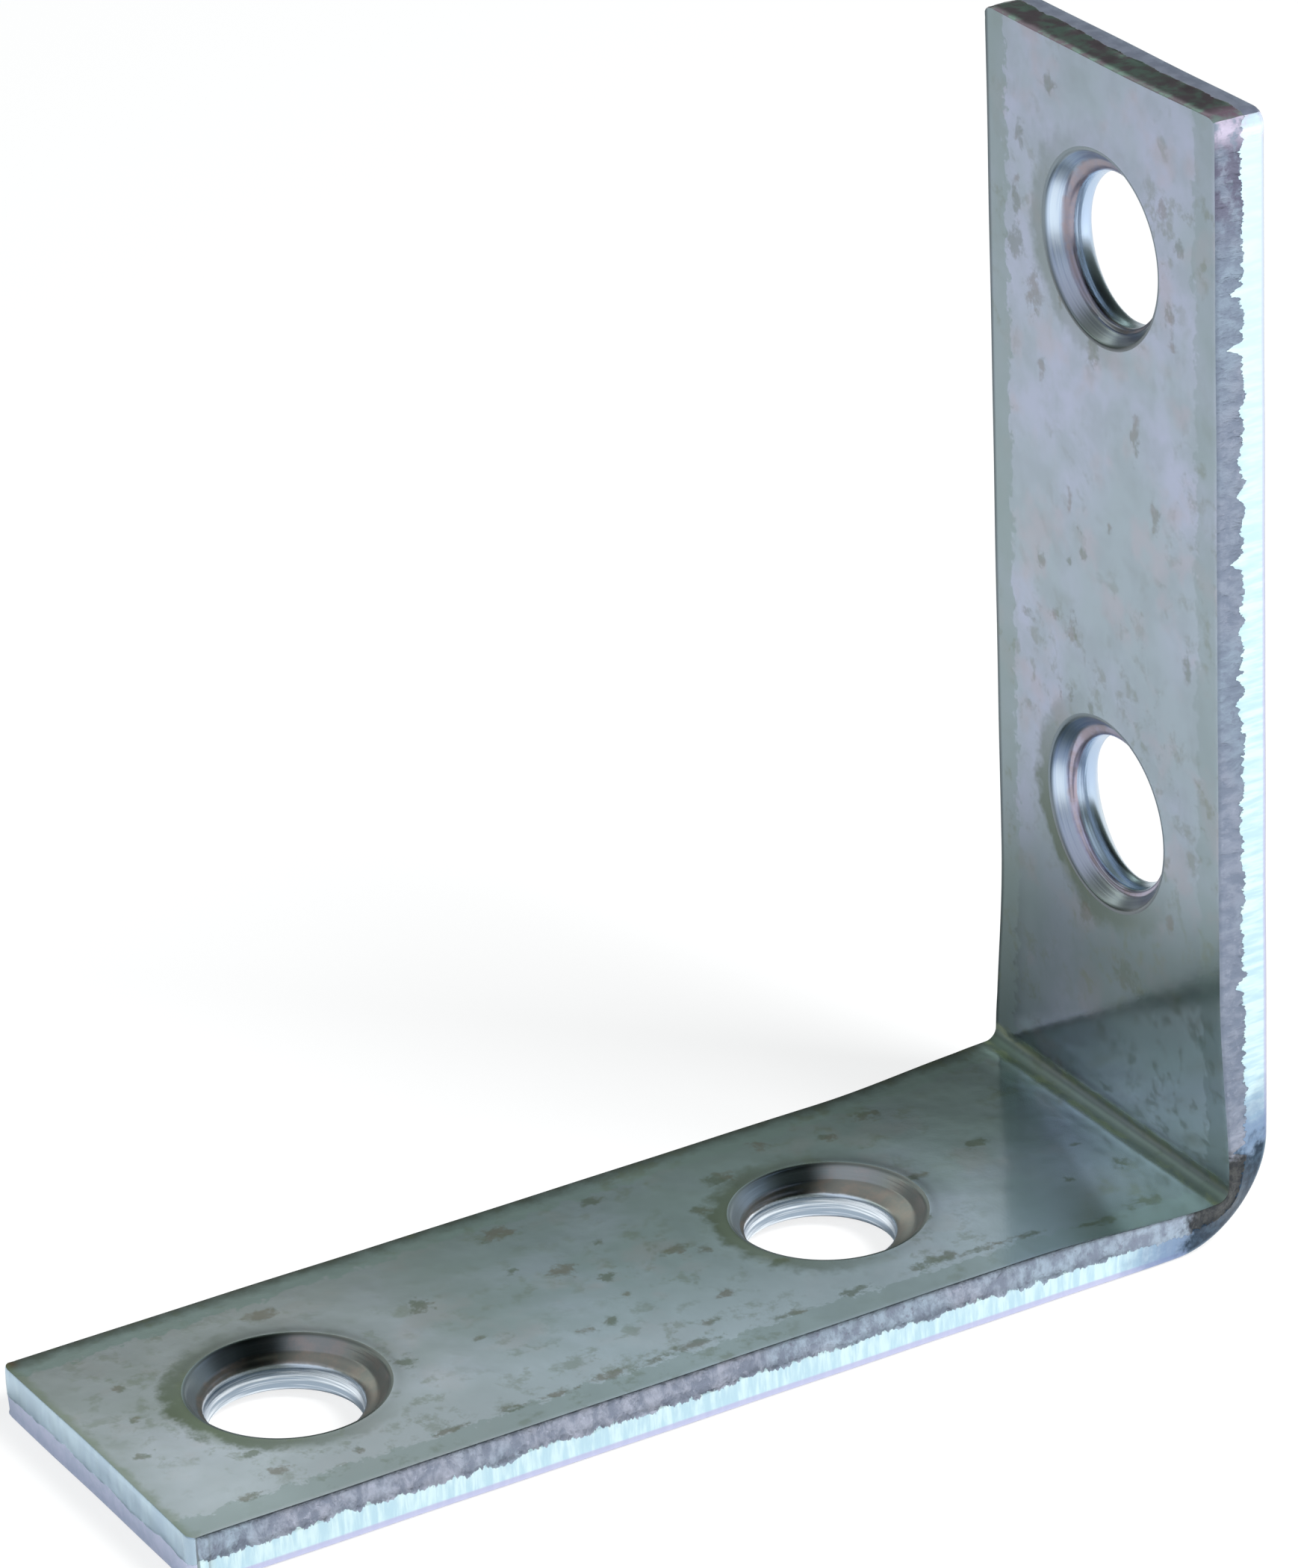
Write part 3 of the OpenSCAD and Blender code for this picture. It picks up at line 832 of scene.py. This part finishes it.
# Painted light: the torn band at the foot's tip gets a much lighter copy of the top end's torn colour, standing in
# for light the tip does not get.
broken = crop.blend(crop.ease(crumbs, 0.35, 0.65), paint(200, 206, 230), paint(214, 216, 240))
plain = crop.blend(crop.ease(crumbs, 0.35, 0.65), paint(112, 118, 136), paint(128, 134, 152))
tone = crop.blend(torn_part, rubbed, crop.blend(standing, broken, plain))
relief = crop.bump(crop.times(crumbs, torn_part), 0.00003)
near_corner = crop.ease(crop.part(flat_place, 1), -6.6, -7.9, 1.0, 0.62)
crop.set(crop.shader, "Metallic", crop.ease(torn_part, 0, 1, near_corner, crop.ease(standing, 0, 1, 0.12, 0.35)))
cropped_end = crop.finish(tone, crop.ease(torn_part, 0, 1, 0.26, 0.4), relief)

# %% [markdown]
# ## Coined countersinks
# The punch burnished the steep side, so it is smooth with streaks along the punch's travel. The ledge
# is brownish, and the neck's lip is bright where it was rubbed last. Painted shade darkens the lower
# side of the upright's holes, the steep side of the foot's tip hole and a line round every rim, and a
# painted highlight lightens the foot holes' tip-ward side.

# %% Finish of the countersinks
coin = Finish("coined_hole", 1.0, 0.24)
flat_place = coin.fact("laid_flat", True)
around = coin.fact("circled", True)
low = coin.fact("down_hole")
lying = coin.ease(coin.part(flat_place, 0), 4, -4)
standing = coin.sum("SUBTRACT", 1.0, lying)
toward_q, toward_v = coin.part(around, 0), coin.part(around, 1)
rings = coin.grain(coin.stretch(around, 0.13, 0.13, 60), 1.0, 3, 0.62)
patchy = coin.grain(flat_place, 1.3, 4, 0.65)

steep = coin.blend(coin.ease(rings, 0.36, 0.64), paint(208, 222, 238), paint(172, 190, 216))
# Painted shade: the lower side of the upright's holes is painted darker and pinker.
downward = coin.times(coin.ease(toward_q, 0.0, -3.2), standing)
steep = coin.blend(coin.times(downward, 0.6), steep, paint(176, 166, 168))
# Painted shade and highlight on the foot's steep sides: the tip hole's is painted darker than the one near the heel,
# and each is painted paler on its tip-ward side.
flat_steep = coin.blend(coin.ease(coin.part(flat_place, 0), -22.0, -34.0), paint(146, 158, 166), paint(92, 102, 110))
flat_steep = coin.blend(coin.ease(rings, 0.36, 0.64, 0.0, 0.3), flat_steep, paint(70, 78, 86))
flat_steep = coin.blend(coin.ease(toward_q, -0.8, -3.0, 0.0, 0.55), flat_steep, paint(184, 198, 204))
steep = coin.blend(lying, steep, flat_steep)
worn_ledge = coin.blend(coin.ease(coin.part(flat_place, 0), 22.0, 34.0), paint(192, 184, 204), paint(150, 146, 160))
ledge = coin.blend(lying, worn_ledge, paint(134, 134, 132))
ledge = coin.blend(coin.ease(patchy, 0.42, 0.62, 0.0, 0.6), ledge, coin.blend(lying, paint(170, 154, 158), paint(160, 148, 140)))
upper = coin.blend(coin.ease(rings, 0.40, 0.58), paint(244, 250, 255), paint(156, 170, 184))
throat = coin.blend(standing, upper, paint(186, 204, 228))
throat = coin.blend(coin.times(coin.ease(toward_q, 0.5, -2.6), standing, 0.8), throat, paint(196, 210, 220))
edge = coin.sum("MULTIPLY_ADD", patchy, 0.16, low)
tone = coin.blend(coin.ease(edge, 0.56, 0.72), steep, ledge)
tone = coin.blend(coin.ease(edge, 0.84, 0.90), tone, throat)

heelward = coin.sum("MULTIPLY_ADD", patchy, 1.5, toward_q)
brown = coin.times(coin.ease(heelward, 0.8, 3.4), lying, coin.ease(low, 0.86, 0.76), 0.72)
tone = coin.blend(brown, tone, coin.blend(coin.ease(patchy, 0.40, 0.65), paint(146, 144, 140), paint(160, 148, 142)))
# Painted shade: a dark line round the rim of every hole, left out on the far, tip-ward arc of the foot's holes,
# which is left bright.
shine = coin.times(coin.ease(toward_q, 0.5, -1.5), coin.ease(toward_v, 0.5, 2.0), lying)
rim = coin.times(coin.ease(low, 0.14, 0.02), coin.sum("SUBTRACT", 1.0, shine), coin.ease(lying, 0, 1, 0.75, 0.65))
tone = coin.blend(rim, tone, paint(96, 104, 104))
relief = coin.bump(rings, 0.000012)
tipward = coin.times(coin.ease(toward_q, 0.4, -2.6), lying, coin.ease(low, 0.90, 0.80), 0.24)
heel_dull = coin.times(coin.ease(toward_q, 1.2, 3.0), lying, coin.ease(low, 0.86, 0.76), 0.42)
dulled = coin.sum("ADD", tipward, heel_dull)
coin.set(coin.shader, "Metallic", coin.sum("SUBTRACT", 1.0, dulled))
coined_hole = coin.finish(tone, coin.ease(low, 0.80, 0.90, coin.ease(standing, 0, 1, 0.28, 0.29), 0.27), relief)

for made in (zinc_plating, sheared_side, cropped_end, coined_hole):
    bracket_mesh.materials.append(made)
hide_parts("bracket")
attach(bracket, "root")

# %% [markdown]
# ## Studio
# The bracket stands on a wide white table in a soft room. Metal shows its surroundings, so the
# room matters: a pale strip at the horizon, darker walls above it, which give the foot its grey, a bright
# band about a third of the way up, a dim ceiling, a bluish window high on the left and a darker side to
# the front right. The table is white to the camera and to reflections, and keeps a soft shadow.

# %% Table
table_size = 3.0
table_mesh = bpy.data.meshes.new("table_top")
table_mesh.from_pydata([(x * table_size, y * table_size, -0.00002) for x, y in ((-1, -1), (1, -1), (1, 1), (-1, 1))],
                       [], [(0, 1, 2, 3)])
table_top = bpy.data.objects.new("table_top", table_mesh)
bpy.context.scene.collection.objects.link(table_top)
table_paint = bpy.data.materials.new("table_white")
table_paint.use_nodes = True
nodes, links = table_paint.node_tree.nodes, table_paint.node_tree.links
nodes.clear()
ray = nodes.new("ShaderNodeLightPath")
matte = nodes.new("ShaderNodeBsdfDiffuse")
glow = nodes.new("ShaderNodeEmission")
whiten = nodes.new("ShaderNodeMapRange")
whiten.inputs["To Min"].default_value, whiten.inputs["To Max"].default_value = 0.9, 0.22
links.new(ray.outputs["Is Camera Ray"], whiten.inputs["Value"])
links.new(whiten.outputs[0], matte.inputs["Color"])
glow_level = None
for kind, share in (("Is Camera Ray", 0.80), ("Is Glossy Ray", 0.02), ("Is Transmission Ray", 0.02)):
    step = nodes.new("ShaderNodeMath")
    step.operation = "MULTIPLY_ADD"
    step.inputs[1].default_value, step.inputs[2].default_value = share, 0.0
    links.new(ray.outputs[kind], step.inputs[0])
    if glow_level is not None:
        links.new(glow_level, step.inputs[2])
    glow_level = step.outputs[0]
links.new(glow_level, glow.inputs["Strength"])
lit = nodes.new("ShaderNodeAddShader")
links.new(matte.outputs[0], lit.inputs[0])
links.new(glow.outputs[0], lit.inputs[1])
output = nodes.new("ShaderNodeOutputMaterial")
links.new(lit.outputs[0], output.inputs["Surface"])
table_mesh.materials.append(table_paint)

# %% Room and lamps
room = bpy.data.worlds.new("soft_room")
bpy.context.scene.world = room
room.use_nodes = True
nodes, links = room.node_tree.nodes, room.node_tree.links
direction = nodes.new("ShaderNodeTexCoord")
parts = nodes.new("ShaderNodeSeparateXYZ")
ramp = nodes.new("ShaderNodeValToRGB")
links.new(direction.outputs["Generated"], parts.inputs[0])
links.new(parts.outputs["Z"], ramp.inputs["Fac"])
nodes["Background"].inputs["Strength"].default_value = 1.0
room_levels = [(0.0, 0.8), (0.05, 0.75), (0.12, 0.15), (0.35, 0.15), (0.43, 0.20), (0.465, 0.46), (0.50, 1.16),
               (0.56, 1.35), (0.60, 0.80), (0.66, 0.34), (0.80, 0.20), (1.0, 0.16)]
room_tint = np.array([0.84, 1.0, 0.89])
ramp.color_ramp.elements.remove(ramp.color_ramp.elements[1])
for step, (at, level) in enumerate(room_levels):
    element = ramp.color_ramp.elements.new(at) if step else ramp.color_ramp.elements[0]
    element.color = (*(level * (room_tint if at > 0.1 else np.ones(3))), 1)
window_side = nodes.new("ShaderNodeVectorMath")
window_side.operation = "DOT_PRODUCT"
window_side.inputs[1].default_value = (-0.79, -0.30, 0.53)
links.new(direction.outputs["Generated"], window_side.inputs[0])
window = nodes.new("ShaderNodeMapRange")
window.interpolation_type = "SMOOTHSTEP"
window.inputs["From Min"].default_value, window.inputs["From Max"].default_value = 0.72, 0.95
links.new(window_side.outputs["Value"], window.inputs["Value"])
room_colour = nodes.new("ShaderNodeMix")
room_colour.data_type = "RGBA"
room_colour.inputs[7].default_value = (0.60, 0.68, 0.80, 1)
links.new(window.outputs[0], room_colour.inputs[0])
links.new(ramp.outputs["Color"], room_colour.inputs[6])
links.new(room_colour.outputs[2], nodes["Background"].inputs["Color"])
dark_side = nodes.new("ShaderNodeVectorMath")
dark_side.operation = "DOT_PRODUCT"
dark_side.inputs[1].default_value = (0.87, -0.50, 0)
links.new(direction.outputs["Generated"], dark_side.inputs[0])
shade = nodes.new("ShaderNodeMapRange")
shade.interpolation_type = "SMOOTHSTEP"
shade.inputs["From Min"].default_value, shade.inputs["From Max"].default_value = -0.12, 0.20
shade.inputs["To Min"].default_value, shade.inputs["To Max"].default_value = 0.0, 0.92
links.new(dark_side.outputs["Value"], shade.inputs["Value"])
above_table = nodes.new("ShaderNodeMapRange")
above_table.inputs["From Min"].default_value, above_table.inputs["From Max"].default_value = 0.30, 0.45
above_table.inputs["To Min"].default_value, above_table.inputs["To Max"].default_value = 0.0, 1.0
links.new(parts.outputs["Z"], above_table.inputs["Value"])
shaded_part = nodes.new("ShaderNodeMath")
shaded_part.operation = "MULTIPLY"
links.new(shade.outputs[0], shaded_part.inputs[0])
links.new(above_table.outputs[0], shaded_part.inputs[1])
left_over = nodes.new("ShaderNodeMath")
left_over.operation = "SUBTRACT"
left_over.inputs[0].default_value = 1.0
links.new(shaded_part.outputs[0], left_over.inputs[1])
links.new(left_over.outputs[0], nodes["Background"].inputs["Strength"])


def soft_lamp(name, place, size, power):
    """A square lamp of the given size in metres, aimed at the bracket. It lights the table and casts the
    soft shadow, and the metal shows the room instead of it."""
    lamp_data = bpy.data.lights.new(name, "AREA")
    lamp_data.size, lamp_data.energy = size, power
    lamp = bpy.data.objects.new(name, lamp_data)
    lamp.location = place
    lamp.rotation_euler = (Vector((0, 0, 0.02)) - lamp.location).to_track_quat("-Z", "Y").to_euler()
    lamp.visible_glossy = False
    bpy.context.scene.collection.objects.link(lamp)


soft_lamp("key_lamp", Vector((0.193, -0.334, 0.46)), 0.22, 4.5)
print("table, room and lamp are in place")
